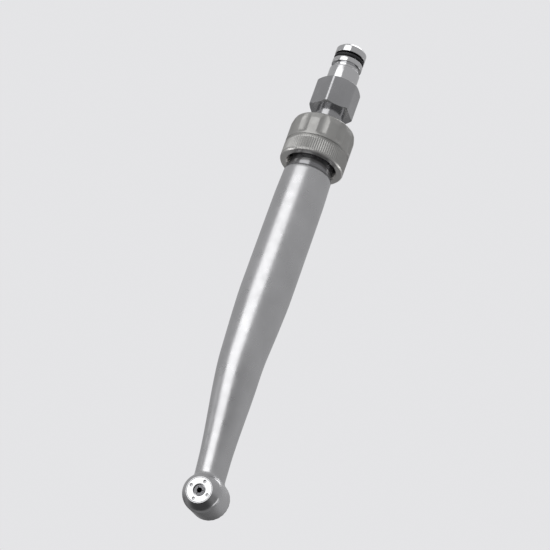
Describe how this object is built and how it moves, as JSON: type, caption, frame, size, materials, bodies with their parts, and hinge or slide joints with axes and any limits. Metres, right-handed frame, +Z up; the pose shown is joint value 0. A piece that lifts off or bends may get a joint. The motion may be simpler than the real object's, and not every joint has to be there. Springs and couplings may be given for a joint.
{
  "type": "high speed dental handpiece",
  "caption": "Bent air turbine dental handpiece with a push-button chuck head, hanging from its scalloped coupling nut and hexagonal quick-connect plug.",
  "frame": {"origin": "on the coupling axis at the plug's shoulder, which is the hexagon's rear face", "axes": "+Z up the coupling axis away from the handpiece, which hangs down -Z; -Y is the side the bur points to; the neck bends toward +Y"},
  "size_m": [0.019, 0.0261, 0.1555],
  "materials": {
    "plug": "polished",
    "plug_oring": "matt",
    "hex_body": "satin nickel",
    "connector_core": "turned",
    "gasket": "matt",
    "coupling_nut": "satin nickel, scalloped",
    "tail_connector": "turned",
    "tail_oring": "matt",
    "tubes": "drawn",
    "handle_shell": "satin",
    "spacers": "turned",
    "head_housing": "satin",
    "face_ring": "polished",
    "head_cap": "satin",
    "cap_ring": "polished",
    "races": "ground",
    "head_orings": "matt",
    "washer": "spring steel",
    "spindle": "ground",
    "impeller": "anodised",
    "chuck_collet": "hardened",
    "balls": "polished",
    "cages": "moulded",
    "push_button": "polished",
    "springs": "spring steel",
    "chuck_plunger": "hardened"
  },
  "bodies": {
    "coupling": {"plug": "plug", "plug_oring": "plug_oring", "hex_body": "hex_body", "connector_core": "connector_core", "gasket": "gasket"},
    "nut": {"coupling_nut": "coupling_nut"},
    "handpiece": {"tail_connector": "tail_connector", "tail_oring": "tail_oring", "drive_air_tube": "tubes", "exhaust_tube": "tubes", "water_tube": "tubes", "chip_air_tube": "tubes", "handle_shell": "handle_shell", "rear_spacer": "spacers", "front_spacer": "spacers", "head_housing": "head_housing", "face_ring": "face_ring", "head_cap": "head_cap", "cap_ring": "cap_ring", "front_outer_race": "races", "rear_outer_race": "races", "front_oring": "head_orings", "rear_oring": "head_orings", "preload_washer": "washer", "button_spring": "springs"},
    "rotor": {"spindle": "spindle", "impeller": "impeller", "chuck_collet": "chuck_collet", "front_inner_race": "races", "rear_inner_race": "races", "chuck_spring": "springs"},
    "front_ball_cage": {"front_balls": "balls", "front_cage": "cages"},
    "rear_ball_cage": {"rear_balls": "balls", "rear_cage": "cages"},
    "button": {"push_button": "push_button"},
    "plunger": {"chuck_plunger": "chuck_plunger"}
  },
  "joints": [
    {"name": "nut_turn", "type": "hinge", "parent": "coupling", "child": "nut", "pos_m": [0, 0, -0.0212], "axis": [0, 0, 1], "range_deg": [0, 1800]},
    {"name": "handpiece_withdraw", "type": "slide", "parent": "coupling", "child": "handpiece", "axis": [0, 0, -1], "range_m": [0, 0.005]},
    {"name": "rotor_spin", "type": "hinge", "parent": "handpiece", "child": "rotor", "pos_m": [0, 0.00814, -0.13611], "axis": [0, -0.9636, -0.2672], "continuous": true},
    {"name": "front_cage_spin", "type": "hinge", "parent": "handpiece", "child": "front_ball_cage", "pos_m": [0, 0.00485, -0.13702], "axis": [0, -0.9636, -0.2672], "continuous": true},
    {"name": "rear_cage_spin", "type": "hinge", "parent": "handpiece", "child": "rear_ball_cage", "pos_m": [0, 0.01121, -0.13526], "axis": [0, -0.9636, -0.2672], "continuous": true},
    {"name": "button_press", "type": "slide", "parent": "handpiece", "child": "button", "axis": [0, -0.9636, -0.2672], "range_m": [0, 0.0007], "stiffness_N_per_m": 4000, "springref_m": -0.0007, "deforming": ["button_spring"]},
    {"name": "plunger_press", "type": "slide", "parent": "rotor", "child": "plunger", "axis": [0, -0.9636, -0.2672], "range_m": [0, 0.00056], "deforming": ["chuck_spring"]}
  ],
  "couplings": [
    {"joint": "nut_turn", "follows": "handpiece_withdraw", "rad_per_m": 6283.2},
    {"joint": "front_cage_spin", "follows": "rotor_spin", "ratio": 0.3954},
    {"joint": "rear_cage_spin", "follows": "rotor_spin", "ratio": 0.3954},
    {"joint": "plunger_press", "follows": "button_press", "ratio": 0.8}
  ]
}
